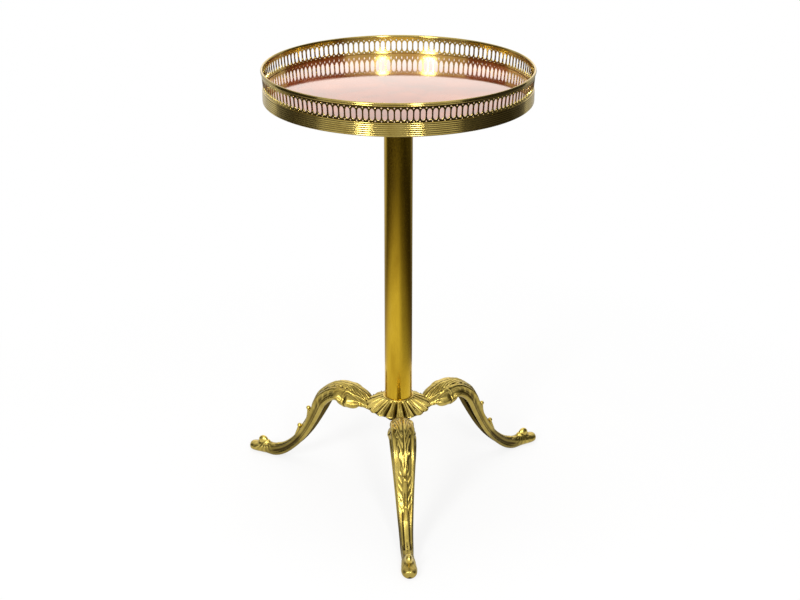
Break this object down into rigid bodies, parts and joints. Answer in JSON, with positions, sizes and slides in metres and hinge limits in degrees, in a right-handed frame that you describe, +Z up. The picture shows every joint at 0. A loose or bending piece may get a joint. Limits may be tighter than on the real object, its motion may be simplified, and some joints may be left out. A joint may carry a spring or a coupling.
{
  "type": "wine table",
  "caption": "Small round wine table: a loose polished marble disc in a pierced brass gallery, on a plain brass column with cast cabriole legs spreading from under a gadrooned collar.",
  "frame": {"origin": "on the floor, under the axis of the column", "axes": "+Z up along the column, the front leg along -Y"},
  "size_m": [0.3762, 0.3689, 0.5345],
  "materials": {
    "marble": "polished red-brown marble",
    "gallery_brass": "polished, darkened in the recesses",
    "column_brass": "polished tube",
    "cast_brass": "cast and burnished, darkened in the recesses",
    "plain_brass": "dull, as turned or sawn",
    "steel": "plain"
  },
  "bodies": {
    "table": {"gallery_strip": "gallery_brass", "gallery_bead": "gallery_brass", "reeded_band": "gallery_brass", "tray_plate": "plain_brass", "flange_screws": "steel", "column_flange": "plain_brass", "column_tube": "column_brass", "tie_rod": "steel", "hub": "plain_brass", "collar": "cast_brass", "leg_bolts": "steel", "rod_washer": "steel", "rod_nut": "steel", "leg_front": "cast_brass", "leg_right": "cast_brass", "leg_left": "cast_brass"},
    "marble": {"marble_top": "marble"}
  },
  "joints": [
    {"name": "top_lift", "type": "slide", "parent": "table", "child": "marble", "axis": [0, 0, 1], "range_m": [0, 0.04]}
  ]
}
